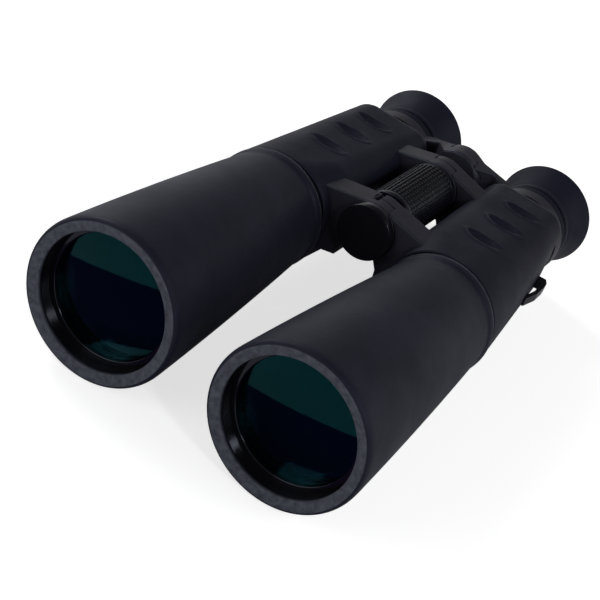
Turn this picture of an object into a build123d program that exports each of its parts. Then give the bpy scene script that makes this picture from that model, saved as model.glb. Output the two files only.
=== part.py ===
"""Large roof-prism binoculars with 56 mm objectives, in millimetres.

They lie level with the eyepieces towards +Y. X runs across, Z is up, and the two front rims touch Z = 0.
Stations are distances behind the front rims, along the optical axes.
"""

from build123d import *
import os

os.makedirs("parts", exist_ok=True)

# Fits used throughout
bond_gap = 0.05
running_clearance = 0.05
free_gap = 0.4
cut_margin = 1.0

# Objective: cell, cemented doublet, retaining ring
lens_radius = 29.0
lens_seat = 1.0
clear_radius = lens_radius - lens_seat
retainer_front = 8.5
retainer_length = 3.5
retainer_rear = retainer_front + retainer_length
retainer_bevel = 1.4
lens_gap = 0.3
lens_edge_front = retainer_rear + lens_gap
crown_edge = 3.0
crown_front_curve = 150.0
crown_rear_curve = 140.0
flint_edge = 7.0
cell_wall = 1.5
cell_lip = 1.6
cell_lip_reach = 0.4
socket_radius = lens_radius + cell_wall + 2 * bond_gap
socket_end = lens_edge_front + crown_edge + flint_edge + cell_lip + 2 * bond_gap

# Barrel: rubber armour over a metal tube
barrel_length = 138.0
rim_step = 0.4
rim_inner_radius = socket_radius + rim_step
rim_width = 6.3
rim_radius = rim_inner_radius + rim_width
rim_edge_radius = 1.6
rim_band = 4.0
armour_wall = 2.2
lip_depth = 3.0
barrel_bulge = 0.6
seam_radius = 28.3
seam_band = 0.5
seam_chamfer = 0.8
seam_step = 0.3
seam_gap = 1.0
seam_station = barrel_length - seam_gap
seam_band_length = 3.0
seam_band_start = seam_station - seam_band_length
seam_rise = 3.0
barrel_neck_station = seam_band_start - seam_rise
neck_step = 0.1
barrel_neck_radius = seam_radius - neck_step
tube_shoulder_radius = lens_radius
tube_shoulder = 2.5
tube_wall = 2.0
tube_throat = 4.0
tube_outer_gap = armour_wall + bond_gap
spigot_shoulder = 3.05
spigot_radius = barrel_neck_radius - tube_outer_gap - spigot_shoulder
spigot_length = 5.0
spigot_wall = 2.4

# Places of the optical axes and of the hinge
objective_x = 47.0
eyepiece_x = 39.0
objective_z = rim_radius
eyepiece_drop = 1.0
eyepiece_z = objective_z - eyepiece_drop
hinge_rise = 15.0
hinge_z = objective_z + hinge_rise

# Prism housing: casting with a rubber skin, from a round front to a square rear
housing_length = 100.0
housing_front = barrel_length
housing_rear = housing_front + housing_length
skin_wall = 2.0
casting_wall = 2.4
front_wall = 3.5
rear_left_x = 17.5
rear_right_x = 61.3
rear_width = rear_right_x - rear_left_x
rear_centre_x = (rear_left_x + rear_right_x) / 2
rear_height = 48.0
rear_corner = 10.0
front_flat = 0.5
ridge_run = 20.0
ridge_station = housing_front + ridge_run
front_ridge_corner = 24.0
middle_ridge_corner = 15.0
rear_ridge_corner = 10.0
hollow_shares = (0.345, 0.59, 0.82)
hollow_x = 43.5
hollow_length = 30.0
hollow_bulge = 6.0
hollow_depth = 1.3

# Hinge arms and knuckles
knuckle_radius = 13.5
front_arm_setback = 5.0
front_arm_start = housing_front + front_arm_setback
front_arm_width = 14.0
front_arm_end = front_arm_start + front_arm_width
rear_arm_setback = 16.5
rear_arm_end = housing_rear - rear_arm_setback
rear_arm_width = 12.0
rear_arm_start = rear_arm_end - rear_arm_width
arm_root_x = 30.0
front_arm_root_z = 18.5
rear_arm_root_z = 16.8
arm_foot_x = 27.0
arm_foot_z = 11.0
arm_corner = 4.5
arm_web = ((7.5, 3.0), (10.3, -1.5), (10.8, -6.0), (24.0, -9.0), (28.0, 10.0))
arm_edge = 1.0
index_slot_width = 2.6
index_slot_depth = 1.6
index_slot_lead = 4.0
index_slot_angle = 105.0
washer_thickness = 0.6
washer_inset = 1.5
washer_radius = knuckle_radius - washer_inset
washer_play = 0.05

# Hinge tube, tripod bush and front cap
hinge_tube_radius = 6.5
hinge_bore = hinge_tube_radius + running_clearance
spindle_radius = 4.55
hinge_tube_inner = spindle_radius + running_clearance
bush_inset = 3.5
bush_flange_radius = knuckle_radius - bush_inset
bush_flange = 1.5
tripod_radius = 2.6
bush_depth = 14.0
nut_inset = 4.0
nut_radius = knuckle_radius - nut_inset
nut_thickness = 2.5
nut_end = rear_arm_end + washer_play + nut_thickness
cap_radius = knuckle_radius
cap_reach = 5.0
cap_front = front_arm_start - cap_reach
cap_rear = front_arm_start - free_gap
cap_face = 2.2
cap_wall = 1.8
cap_chamfer = 0.8

# Focus drum, spindle and drive pin
drum_front_gap = 2.5
drum_start = front_arm_end + drum_front_gap
drum_rear_gap = 2.0
drum_end = rear_arm_start - drum_rear_gap
drum_inset = 0.1
drum_radius = knuckle_radius - drum_inset
grip_wall = 2.0
rib_count = 40
rib_depth = 0.7
rib_gap = 0.9
plain_band = 3.0
drum_bearing = 8.0
pin_station = (drum_start + drum_end) / 2
pin_radius = 1.5
pin_overhang = 2.1
pin_reach = hinge_tube_radius + pin_overhang
pin_room = 0.6
drum_chamber_radius = pin_reach + pin_room
spindle_lead = 12.0
spindle_start = pin_station - spindle_lead
focus_in = 1.5
focus_out = 5.0

# Rear plate and its screws
plate_front = housing_rear
plate_inset = 1.0
plate_edge = 1.2
plate_thickness = 2.5
plate_rear = plate_front + plate_thickness
collar_radius = 21.5
collar_length = 3.0
collar_rear = plate_rear + collar_length
screw_inset_x = 8.3
screw_x = rear_width / 2 - screw_inset_x
screw_inset_z = 7.4
screw_z = rear_height / 2 - screw_inset_z
screw_radius = 1.25
screw_head_radius = 2.3
screw_head = 1.1
screw_sink = 0.2
screw_length = 10.0
boss_radius = 3.2
boss_spare = 4.0
boss_length = screw_length + boss_spare

# Prisms and their cage, all in proportion to the prism's width
prism_x = 43.0
prism_inset = 3.3
prism_width = seam_radius - prism_inset
prism_air_gap = 0.8
prism_bottom = -0.56 * prism_width
prism_face_top = 0.52 * prism_width
prism_ridge = (0.48 * prism_width, 0.72 * prism_width)
prism_foot = 1.2 * prism_width
roof_rear = 1.6 * prism_width
roof_rear_top = 0.24 * prism_width
roof_bevel = 0.16 * prism_width
prism_aperture = prism_width / 2
cage_wall = 2.0
cage_setback = 13.0
cage_plate_start = housing_front + cage_setback
cage_plate = 4.0
cage_plate_end = cage_plate_start + cage_plate
cage_depth = 1.76 * prism_width
cage_height = 1.28 * prism_width
prism_gap = 1.0
prism_start = cage_plate_end + prism_gap

# Eyepiece bridge: hub, arms and rings
hub_inset = 1.0
hub_radius = knuckle_radius - hub_inset
hub_overlap = 4.0
hub_start = housing_rear - hub_overlap
hub_half = 6.0
hub_split = hub_start + hub_half
hub_end = hub_split + hub_half
tube_radius = 16.0
ring_wall = 5.6
ring_radius = tube_radius + ring_wall
ring_gap = 1.0
ring_start = collar_rear + focus_in + ring_gap
ring_length = 7.5
ring_end = ring_start + ring_length
bridge_knee_x = 25.0
bridge_knee_z = 12.2
bridge_knee_radius = 4.4
bridge_edge = 1.4
bridge_plan = ((0.0, hub_start), (9.0, hub_start), (16.0, ring_start), (40.0, ring_start), (40.0, ring_end),
               (22.0, ring_end), (9.0, hub_end), (-14.0, hub_end), (-14.0, hub_start))
end_cap_inset = 3.5
end_cap_radius = hub_radius - end_cap_inset
end_cap = 3.0
end_cap_skin = 1.0
end_cap_chamfer = 0.8

# Rings behind the bridge
collar_gap = 0.5
collar_ring_start = ring_end + collar_gap
collar_ring_length = 5.5
collar_ring_end = collar_ring_start + collar_ring_length
collar_ring_wall = 4.8
collar_ring_radius = tube_radius + collar_ring_wall
dioptre_ribs = 36
dioptre_rib_depth = 0.6
dioptre_rib_gap = 1.4
dioptre_rim = 1.2
dioptre_travel = 2.5

# Eyepiece tube, lenses and eyecup
cup_start = collar_ring_end + dioptre_travel + free_gap
cup_length = 20.6
total_length = cup_start + cup_length
front_y = -total_length / 2
tube_reach = 15.0
tube_start = housing_rear - tube_reach
cup_grip = 4.6
tube_end = cup_start + cup_grip
eyepiece_tube_wall = 1.8
tube_bore = tube_radius - eyepiece_tube_wall
eye_seat_step = 2.0
eye_bore = tube_bore - eye_seat_step
eye_seat_depth = 10.0
eye_seat = tube_end - eye_seat_depth
tube_lip_reach = 1.0
tube_lip = eye_bore - tube_lip_reach
tube_lip_depth = 1.4
bore_taper = 2.0
field_lens_setback = 2.0
field_lens_front = tube_start + field_lens_setback
field_lens_edge = 4.0
field_lens_curve = 42.0
eye_lens_setback = 2.0
eye_lens_front = eye_seat + eye_lens_setback
eye_lens_edge = 3.0
eye_lens_curve = 36.0
cup_base_wall = 4.3
cup_base_radius = tube_radius + cup_base_wall
cup_middle_rise = 1.1
cup_middle_radius = cup_base_radius + cup_middle_rise
cup_flare_rise = 4.8
cup_flare_radius = cup_base_radius + cup_flare_rise
cup_waist_run = 3.6
cup_waist_station = cup_start + cup_waist_run
cup_middle_run = 11.1
cup_middle_station = cup_start + cup_middle_run
cup_lip_length = 2.0
cup_flare_station = total_length - cup_lip_length
cup_wall = 2.4
cup_floor = 2.0
cup_chamfer = 0.8
cup_lip_drop = 1.2
cup_lip_setback = 0.7
cup_inner_run = 6.0

# Strap lug on the outer flank, a low bar on two feet that thins towards the front
lug_setback = 19.0
lug_station = housing_rear - lug_setback
lug_z = -8.0
lug_height = 4.5
lug_outline = ((-4.0, -15.0), (1.0, -15.0), (4.2, -5.0), (5.2, 4.0), (5.2, 8.5), (3.8, 12.0), (-4.0, 12.0))
lug_slot = ((-4.0, -9.5), (0.8, -9.5), (2.2, -4.0), (3.0, 2.0), (3.0, 7.0), (-4.0, 7.0))


def across(station, x=0.0, z=0.0):
    """Plane square to the optical axes at a station, seen from the front. It extrudes towards the front."""
    return Plane(origin=(x, front_y + station, z), x_dir=(1, 0, 0), z_dir=(0, -1, 0))


def along(x, z):
    """Plane that holds an optical axis. Local X is the radius and local Y is the station."""
    return Plane(origin=(x, front_y, z), x_dir=(1, 0, 0), z_dir=(0, 0, 1))


def axis_through(x, z):
    """Line along the optical axes through one point of the cross-section."""
    return Axis((x, front_y, z), (0, 1, 0))


def barrel_radius(station):
    """Outer radius of the barrel armour on its long taper."""
    share = (station - rim_band) / (barrel_neck_station - rim_band)
    return rim_radius + share * (barrel_neck_radius - rim_radius)


def sag(curve, radius):
    """Height of a spherical cap of the given curve radius at an edge radius."""
    return curve - (curve**2 - radius**2) ** 0.5


def housing_plane(station, side):
    """Plane of the housing's cross-section at a station, centred on that section."""
    share = (station - housing_front) / (housing_rear - housing_front)
    centre = objective_x + share * (rear_centre_x - objective_x)
    return across(station, side * centre, objective_z)


def housing_height(station):
    """Full height of the housing at a station."""
    share = (station - housing_front) / (housing_rear - housing_front)
    return 2 * seam_radius + share * (rear_height - 2 * seam_radius)


def ridge_corner(station):
    """Radius of the housing's top edge beside the hinge, which tightens just behind the seam."""
    if station < ridge_station:
        share = (station - housing_front) / (ridge_station - housing_front)
        return front_ridge_corner + share * (middle_ridge_corner - front_ridge_corner)
    share = (station - ridge_station) / (housing_rear - ridge_station)
    return middle_ridge_corner + share * (rear_ridge_corner - middle_ridge_corner)


def housing_outline(station, inset, side):
    """Cross-section of the housing, moved in from its outer face, with its own edge beside the hinge."""
    share = (station - housing_front) / (housing_rear - housing_front)
    width = 2 * seam_radius + share * (rear_width - 2 * seam_radius)
    front_corner = seam_radius - front_flat
    corner = front_corner + share * (rear_corner - front_corner)
    with BuildSketch() as outline:
        Rectangle(width - 2 * inset, housing_height(station) - 2 * inset)
        corners = outline.vertices().sort_by(lambda vertex: vertex.Y - side * vertex.X)
        fillet(corners[:-1], radius=corner - inset)
        corners = outline.vertices().sort_by(lambda vertex: vertex.Y - side * vertex.X)
        fillet(corners[-1], radius=ridge_corner(station) - inset)
    return outline.sketch


def arm_outline(side, root_z, grow=0.0):
    """Outline of a hinge arm seen from the front: knuckle, root in the housing, and a web below."""
    with BuildSketch() as outline:
        with Locations((0, hinge_z)):
            Circle(knuckle_radius)
        with Locations((side * arm_root_x, objective_z + root_z)):
            Circle(arm_corner)
        with Locations((side * arm_foot_x, objective_z + arm_foot_z)):
            Circle(arm_corner)
        make_hull()
        Polygon(*[(side * x, objective_z + z) for x, z in arm_web], align=None)
        if grow:
            offset(amount=grow)
    return outline.sketch


housing_stations = (housing_front, ridge_station, housing_rear)
hinge_arms = ((front_arm_start, front_arm_end, front_arm_root_z),
              (rear_arm_start, rear_arm_end, rear_arm_root_z))

for name, side in (("left", -1), ("right", 1)):
    objective_plane = along(side * objective_x, objective_z)
    objective_axis = axis_through(side * objective_x, objective_z)
    eyepiece_plane = along(side * eyepiece_x, eyepiece_z)
    eyepiece_axis = axis_through(side * eyepiece_x, eyepiece_z)

    # Rubber armour with a flat front rim, a long taper and a raised band at the seam
    with BuildPart() as barrel_armour:
        with BuildSketch(objective_plane):
            with BuildLine():
                edge_start = (rim_radius - rim_edge_radius, 0)
                edge_end = (rim_radius, rim_edge_radius)
                Polyline((barrel_neck_radius - armour_wall, seam_station),
                         (barrel_neck_radius - armour_wall, barrel_neck_station),
                         (barrel_radius(lip_depth) - armour_wall, lip_depth),
                         (rim_inner_radius, lip_depth),
                         (rim_inner_radius, 0),
                         edge_start)
                RadiusArc(edge_start, edge_end, -rim_edge_radius)
                Line(edge_end, (rim_radius, rim_band))
                middle = (rim_band + barrel_neck_station) / 2
                ThreePointArc((rim_radius, rim_band),
                              (barrel_radius(middle) + barrel_bulge, middle),
                              (barrel_neck_radius, barrel_neck_station))
                Polyline((barrel_neck_radius, barrel_neck_station),
                         (seam_radius + seam_band, seam_band_start),
                         (seam_radius + seam_band, seam_station - seam_chamfer),
                         (seam_radius - seam_step, seam_station),
                         (barrel_neck_radius - armour_wall, seam_station))
            make_face()
        revolve(axis=objective_axis)
    barrel_armour.part.label = f"barrel_armour_{name}"
    export_step(barrel_armour.part, f"parts/barrel_armour_{name}.step")

    # Metal tube with a front socket for the lens cell and a spigot that enters the housing
    throat_station = barrel_neck_station - tube_throat
    cavity_station = socket_end + 2 * tube_shoulder
    cavity_gap = tube_outer_gap + tube_wall
    with BuildPart() as barrel_tube:
        with BuildSketch(objective_plane):
            with BuildLine():
                Polyline((rim_inner_radius, lip_depth + bond_gap),
                         (barrel_radius(lip_depth) - tube_outer_gap, lip_depth + bond_gap),
                         (barrel_neck_radius - tube_outer_gap, barrel_neck_station),
                         (barrel_neck_radius - tube_outer_gap, housing_front - bond_gap),
                         (spigot_radius, housing_front - bond_gap),
                         (spigot_radius, housing_front + spigot_length),
                         (spigot_radius - spigot_wall, housing_front + spigot_length),
                         (spigot_radius - spigot_wall, barrel_neck_station),
                         (barrel_radius(throat_station) - cavity_gap, throat_station),
                         (barrel_radius(cavity_station) - cavity_gap, cavity_station),
                         (tube_shoulder_radius, socket_end + tube_shoulder),
                         (tube_shoulder_radius, socket_end),
                         (socket_radius, socket_end),
                         (socket_radius, retainer_front),
                         (rim_inner_radius, retainer_front),
                         close=True)
            make_face()
        revolve(axis=objective_axis)
    barrel_tube.part.label = f"barrel_tube_{name}"
    export_step(barrel_tube.part, f"parts/barrel_tube_{name}.step")

    # Cell that holds the doublet against a rear lip
    cell_outer = socket_radius - bond_gap
    cell_inner = lens_radius + bond_gap
    with BuildPart() as objective_cell:
        with BuildSketch(objective_plane):
            with BuildLine():
                Polyline((cell_inner, retainer_rear + bond_gap),
                         (cell_outer, retainer_rear + bond_gap),
                         (cell_outer, socket_end),
                         (clear_radius - cell_lip_reach, socket_end),
                         (clear_radius - cell_lip_reach, socket_end - cell_lip),
                         (cell_inner, socket_end - cell_lip),
                         close=True)
            make_face()
        revolve(axis=objective_axis)
    objective_cell.part.label = f"objective_cell_{name}"
    export_step(objective_cell.part, f"parts/objective_cell_{name}.step")

    # Threaded ring in front of the lens, with a bevelled mouth
    with BuildPart() as objective_retainer:
        with BuildSketch(objective_plane):
            with BuildLine():
                Polyline((clear_radius + retainer_bevel, retainer_front),
                         (cell_outer, retainer_front),
                         (cell_outer, retainer_rear),
                         (clear_radius, retainer_rear),
                         (clear_radius, retainer_rear - retainer_bevel),
                         close=True)
            make_face()
        revolve(axis=objective_axis)
    objective_retainer.part.label = f"objective_retainer_{name}"
    export_step(objective_retainer.part, f"parts/objective_retainer_{name}.step")

    # Front lens, curved out on both faces
    crown_rear = lens_edge_front + crown_edge
    with BuildPart() as objective_crown:
        with BuildSketch(objective_plane):
            with BuildLine():
                front_vertex = (0, lens_edge_front - sag(crown_front_curve, lens_radius))
                rear_vertex = (0, crown_rear + sag(crown_rear_curve, lens_radius))
                RadiusArc(front_vertex, (lens_radius, lens_edge_front), -crown_front_curve)
                Line((lens_radius, lens_edge_front), (lens_radius, crown_rear))
                RadiusArc((lens_radius, crown_rear), rear_vertex, -crown_rear_curve)
                Line(rear_vertex, front_vertex)
            make_face()
        revolve(axis=objective_axis)
    objective_crown.part.label = f"objective_crown_{name}"
    export_step(objective_crown.part, f"parts/objective_crown_{name}.step")

    # Second lens, hollow in front to take the first, flat behind
    flint_front = crown_rear + bond_gap
    flint_rear = flint_front + flint_edge
    with BuildPart() as objective_flint:
        with BuildSketch(objective_plane):
            with BuildLine():
                hollow_vertex = (0, flint_front + sag(crown_rear_curve, lens_radius))
                RadiusArc((lens_radius, flint_front), hollow_vertex, -crown_rear_curve)
                Polyline(hollow_vertex,
                         (0, flint_rear),
                         (lens_radius, flint_rear),
                         (lens_radius, flint_front))
            make_face()
        revolve(axis=objective_axis)
    objective_flint.part.label = f"objective_flint_{name}"
    export_step(objective_flint.part, f"parts/objective_flint_{name}.step")

    # Prism housing: hollow casting with both hinge arms and four screw bosses
    with BuildPart() as prism_housing:
        for start, end, root_z in hinge_arms:
            with BuildSketch(across(end)):
                add(arm_outline(side, root_z))
            extrude(amount=end - start)
        fillet(prism_housing.faces().filter_by(Axis.Y).edges(), radius=arm_edge)
        for station in housing_stations:
            with BuildSketch(housing_plane(station, side)):
                add(housing_outline(station, skin_wall + bond_gap, side))
        loft(ruled=True)
        for station in (housing_front + front_wall, ridge_station, housing_rear):
            with BuildSketch(housing_plane(station, side)):
                add(housing_outline(station, skin_wall + casting_wall, side))
        loft(ruled=True, mode=Mode.SUBTRACT)
        with BuildSketch(across(housing_rear, side * rear_centre_x, objective_z)):
            with GridLocations(2 * screw_x, 2 * screw_z, 2, 2):
                Circle(boss_radius)
        extrude(amount=boss_length)
        with BuildSketch(across(housing_rear, side * rear_centre_x, objective_z)):
            with GridLocations(2 * screw_x, 2 * screw_z, 2, 2):
                Circle(screw_radius + bond_gap)
        extrude(amount=screw_length, mode=Mode.SUBTRACT)
        with BuildSketch(across(housing_front + front_wall, side * objective_x, objective_z)):
            Circle(spigot_radius + bond_gap)
        extrude(amount=front_wall, mode=Mode.SUBTRACT)
        # Each half keeps one knuckle of a pair and leaves room for the other
        for start, end, root_z in hinge_arms:
            split = (start + end) / 2
            if side < 0:
                room_start = split
                room_end = end + cut_margin
            else:
                room_start = start - cut_margin
                room_end = split + washer_thickness + washer_play
            with BuildSketch(across(room_end, 0, hinge_z)):
                Circle(knuckle_radius + free_gap)
            extrude(amount=room_end - room_start, mode=Mode.SUBTRACT)
        with BuildSketch(across(rear_arm_end, 0, hinge_z)):
            Circle(hinge_bore)
        extrude(amount=rear_arm_end - front_arm_start, mode=Mode.SUBTRACT)
        # Shallow slot along the top of the front knuckles, in line when the halves are spread
        with BuildSketch(across(front_arm_end, 0, hinge_z)):
            with PolarLocations(knuckle_radius, 1, start_angle=index_slot_angle):
                Rectangle(2 * index_slot_depth, index_slot_width)
        extrude(amount=front_arm_width - index_slot_lead, mode=Mode.SUBTRACT)
    prism_housing.part.label = f"prism_housing_{name}"
    export_step(prism_housing.part, f"parts/prism_housing_{name}.step")

    # Rubber skin of the housing, notched round the arms, with three finger hollows on top
    with BuildPart() as housing_skin:
        for station in housing_stations:
            with BuildSketch(housing_plane(station, side)):
                add(housing_outline(station, 0, side))
        loft(ruled=True)
        for station in housing_stations:
            with BuildSketch(housing_plane(station, side)):
                add(housing_outline(station, skin_wall, side))
        loft(ruled=True, mode=Mode.SUBTRACT)
        for start, end, root_z in hinge_arms:
            with BuildSketch(across(end + bond_gap)):
                add(arm_outline(side, root_z, bond_gap))
            extrude(amount=end - start + 2 * bond_gap, mode=Mode.SUBTRACT)
        for share in hollow_shares:
            station = housing_front + share * housing_length
            spin_z = objective_z + housing_height(station) / 2 + hollow_bulge - hollow_depth
            with BuildSketch(across(station, side * hollow_x, spin_z)):
                with BuildLine():
                    hollow_ends = ((-hollow_length / 2, 0), (hollow_length / 2, 0))
                    ThreePointArc(hollow_ends[0], (0, -hollow_bulge), hollow_ends[1])
                    Line(hollow_ends[1], hollow_ends[0])
                make_face()
            spin_axis = Axis((side * hollow_x, front_y + station, spin_z), (1, 0, 0))
            revolve(axis=spin_axis, mode=Mode.SUBTRACT)
    housing_skin.part.label = f"housing_skin_{name}"
    export_step(housing_skin.part, f"parts/housing_skin_{name}.step")

    # Rear plate with a collar and the bore that guides the eyepiece
    guide_bore = tube_radius + running_clearance
    with BuildPart() as rear_plate:
        with BuildSketch(across(plate_rear, side * rear_centre_x, objective_z)):
            add(housing_outline(housing_rear, plate_inset, side))
        extrude(amount=plate_rear - plate_front - bond_gap)
        fillet(rear_plate.faces().sort_by(Axis.Y)[-1].edges(), radius=plate_edge)
        with BuildSketch(across(collar_rear, side * eyepiece_x, eyepiece_z)):
            Circle(collar_radius)
        extrude(amount=collar_rear - plate_front - bond_gap)
        with BuildSketch(across(collar_rear, side * eyepiece_x, eyepiece_z)):
            Circle(guide_bore)
        extrude(amount=collar_rear - plate_front, mode=Mode.SUBTRACT)
        with BuildSketch(across(plate_rear, side * rear_centre_x, objective_z)):
            with GridLocations(2 * screw_x, 2 * screw_z, 2, 2):
                Circle(screw_head_radius + bond_gap)
        extrude(amount=screw_sink + screw_head + bond_gap, mode=Mode.SUBTRACT)
        with BuildSketch(across(plate_rear, side * rear_centre_x, objective_z)):
            with GridLocations(2 * screw_x, 2 * screw_z, 2, 2):
                Circle(screw_radius + bond_gap)
        extrude(amount=plate_rear - plate_front, mode=Mode.SUBTRACT)
    rear_plate.part.label = f"rear_plate_{name}"
    export_step(rear_plate.part, f"parts/rear_plate_{name}.step")

    # Four screws that hold the rear plate
    with BuildPart() as rear_screws:
        with BuildSketch(across(plate_rear - screw_sink, side * rear_centre_x, objective_z)):
            with GridLocations(2 * screw_x, 2 * screw_z, 2, 2):
                Circle(screw_head_radius)
        extrude(amount=screw_head)
        with BuildSketch(across(plate_rear - screw_sink, side * rear_centre_x, objective_z)):
            with GridLocations(2 * screw_x, 2 * screw_z, 2, 2):
                Circle(screw_radius)
        extrude(amount=screw_length)
    rear_screws.part.label = f"rear_plate_screws_{name}"
    export_step(rear_screws.part, f"parts/rear_plate_screws_{name}.step")

    # Prism cage: a plate across the housing with two cheeks that clamp the prisms
    cheek_x = prism_width / 2 + bond_gap + cage_wall / 2
    with BuildPart() as prism_cage:
        for station in (cage_plate_start, cage_plate_end):
            with BuildSketch(housing_plane(station, side)):
                add(housing_outline(station, skin_wall + casting_wall + bond_gap, side))
        loft(ruled=True)
        with BuildSketch(across(cage_plate_end, side * prism_x, objective_z)):
            Circle(prism_aperture)
        extrude(amount=cage_plate, mode=Mode.SUBTRACT)
        with BuildSketch(across(cage_plate_end + cage_depth, side * prism_x, objective_z)):
            with GridLocations(2 * cheek_x, 0, 2, 1):
                Rectangle(cage_wall, cage_height)
        extrude(amount=cage_depth + cut_margin)
    prism_cage.part.label = f"prism_cage_{name}"
    export_step(prism_cage.part, f"parts/prism_cage_{name}.step")

    # First prism: upright entrance face, slanted exit face
    prism_plane = Plane(origin=(side * prism_x - prism_width / 2, front_y + prism_start, objective_z),
                        x_dir=(0, 1, 0), z_dir=(1, 0, 0))
    with BuildPart() as front_prism:
        with BuildSketch(prism_plane):
            Polygon((0, prism_bottom), (0, prism_face_top), prism_ridge, (prism_foot, prism_bottom), align=None)
        extrude(amount=prism_width)
    front_prism.part.label = f"front_prism_{name}"
    export_step(front_prism.part, f"parts/front_prism_{name}.step")

    # Second prism: its sloping top face is bevelled towards a roof
    with BuildPart() as roof_prism:
        with BuildSketch(prism_plane):
            Polygon((prism_ridge[0] + prism_air_gap, prism_ridge[1]), (prism_foot + prism_air_gap, prism_bottom),
                    (roof_rear, prism_bottom), (roof_rear, roof_rear_top), align=None)
        extrude(amount=prism_width)
        top_edges = roof_prism.faces().sort_by(Axis.Z)[-1].edges().sort_by(Axis.X)
        chamfer([top_edges[0], top_edges[-1]], length=roof_bevel)
    roof_prism.part.label = f"roof_prism_{name}"
    export_step(roof_prism.part, f"parts/roof_prism_{name}.step")

    # Strap lug: a bar that stands off the flank on two feet
    flank_slope = (objective_x + seam_radius - rear_right_x) / (housing_rear - housing_front)
    flank_x = rear_right_x + flank_slope * (housing_rear - lug_station)
    lug_plane = Plane(origin=(side * flank_x, front_y + lug_station, objective_z + lug_z - lug_height / 2),
                      x_dir=(side, flank_slope, 0), z_dir=(0, 0, 1))
    with BuildPart() as strap_lug:
        with BuildSketch(lug_plane):
            Polygon(*[(u, side * v) for u, v in lug_outline], align=None)
        extrude(amount=lug_height)
        with BuildSketch(lug_plane):
            Polygon(*[(u, side * v) for u, v in lug_slot], align=None)
        extrude(amount=lug_height, mode=Mode.SUBTRACT)
        for station in housing_stations:
            with BuildSketch(housing_plane(station, side)):
                add(housing_outline(station, -bond_gap, side))
        loft(ruled=True, mode=Mode.SUBTRACT)
    strap_lug.part.label = f"strap_lug_{name}"
    export_step(strap_lug.part, f"parts/strap_lug_{name}.step")

    # Bridge arm: half of the hub, a bar that drops back to the eyepiece, and the eyepiece ring
    with BuildPart() as bridge_arm:
        with BuildSketch(across(ring_end)):
            with Locations((0, hinge_z)):
                Circle(hub_radius)
            with Locations((side * bridge_knee_x, objective_z + bridge_knee_z)):
                Circle(bridge_knee_radius)
            make_hull()
        extrude(amount=ring_end - hub_start)
        with BuildSketch(Plane.XY):
            Polygon(*[(side * x, front_y + station) for x, station in bridge_plan], align=None)
        extrude(amount=2 * rim_radius, mode=Mode.INTERSECT)
        flats = bridge_arm.faces().filter_by(GeomType.PLANE)
        upright = flats.filter_by(lambda face: abs(face.normal_at().Z) < 0.05)
        fillet(upright.edges(), radius=bridge_edge)
        with BuildSketch(across(ring_end, side * eyepiece_x, eyepiece_z)):
            Circle(ring_radius)
        extrude(amount=ring_end - ring_start)
        if side < 0:
            room_start = hub_split - washer_play
            room_end = hub_end + cut_margin
        else:
            room_start = hub_start - cut_margin
            room_end = hub_split + washer_play
        with BuildSketch(across(room_end, 0, hinge_z)):
            Circle(hub_radius + free_gap)
        extrude(amount=room_end - room_start, mode=Mode.SUBTRACT)
        with BuildSketch(across(hub_end, 0, hinge_z)):
            Circle(spindle_radius + running_clearance)
        extrude(amount=hub_end - hub_start, mode=Mode.SUBTRACT)
        with BuildSketch(across(ring_end, side * eyepiece_x, eyepiece_z)):
            Circle(tube_radius + running_clearance)
        extrude(amount=ring_end - ring_start, mode=Mode.SUBTRACT)
    bridge_arm.part.label = f"bridge_arm_{name}"
    export_step(bridge_arm.part, f"parts/bridge_arm_{name}.step")

    # Eyepiece tube that slides in the rear plate
    with BuildPart() as eyepiece_tube:
        with BuildSketch(eyepiece_plane):
            with BuildLine():
                Polyline((tube_bore, tube_start),
                         (tube_radius, tube_start),
                         (tube_radius, tube_end),
                         (tube_lip, tube_end),
                         (tube_lip, tube_end - tube_lip_depth),
                         (eye_bore, tube_end - tube_lip_depth),
                         (eye_bore, eye_seat),
                         (tube_bore, eye_seat - bore_taper),
                         close=True)
            make_face()
        revolve(axis=eyepiece_axis)
    eyepiece_tube.part.label = f"eyepiece_tube_{name}"
    export_step(eyepiece_tube.part, f"parts/eyepiece_tube_{name}.step")

    # Field lens and eye lens
    lenses = (("field_lens", tube_bore, field_lens_front, field_lens_edge, field_lens_curve),
              ("eye_lens", eye_bore, eye_lens_front, eye_lens_edge, eye_lens_curve))
    for lens_name, bore, edge_front, edge, curve in lenses:
        radius = bore - bond_gap
        with BuildPart() as lens:
            with BuildSketch(eyepiece_plane):
                with BuildLine():
                    front_vertex = (0, edge_front - sag(curve, radius))
                    rear_vertex = (0, edge_front + edge + sag(curve, radius))
                    RadiusArc(front_vertex, (radius, edge_front), -curve)
                    Line((radius, edge_front), (radius, edge_front + edge))
                    RadiusArc((radius, edge_front + edge), rear_vertex, -curve)
                    Line(rear_vertex, front_vertex)
                make_face()
            revolve(axis=eyepiece_axis)
        lens.part.label = f"{lens_name}_{name}"
        export_step(lens.part, f"parts/{lens_name}_{name}.step")

    # Ring behind the bridge: plain on the left, the ribbed dioptre ring on the right
    ring_name = "eyepiece_collar_left" if side < 0 else "dioptre_ring_right"
    with BuildPart() as collar_ring:
        with BuildSketch(across(collar_ring_end, side * eyepiece_x, eyepiece_z)):
            Circle(collar_ring_radius)
            Circle(tube_radius + running_clearance, mode=Mode.SUBTRACT)
        extrude(amount=collar_ring_end - collar_ring_start)
        if side > 0:
            with BuildSketch(across(collar_ring_end, side * eyepiece_x, eyepiece_z)):
                with PolarLocations(collar_ring_radius, dioptre_ribs):
                    Rectangle(2 * dioptre_rib_depth, dioptre_rib_gap)
            extrude(amount=collar_ring_end - collar_ring_start - dioptre_rim, mode=Mode.SUBTRACT)
    collar_ring.part.label = ring_name
    export_step(collar_ring.part, f"parts/{ring_name}.step")

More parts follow.
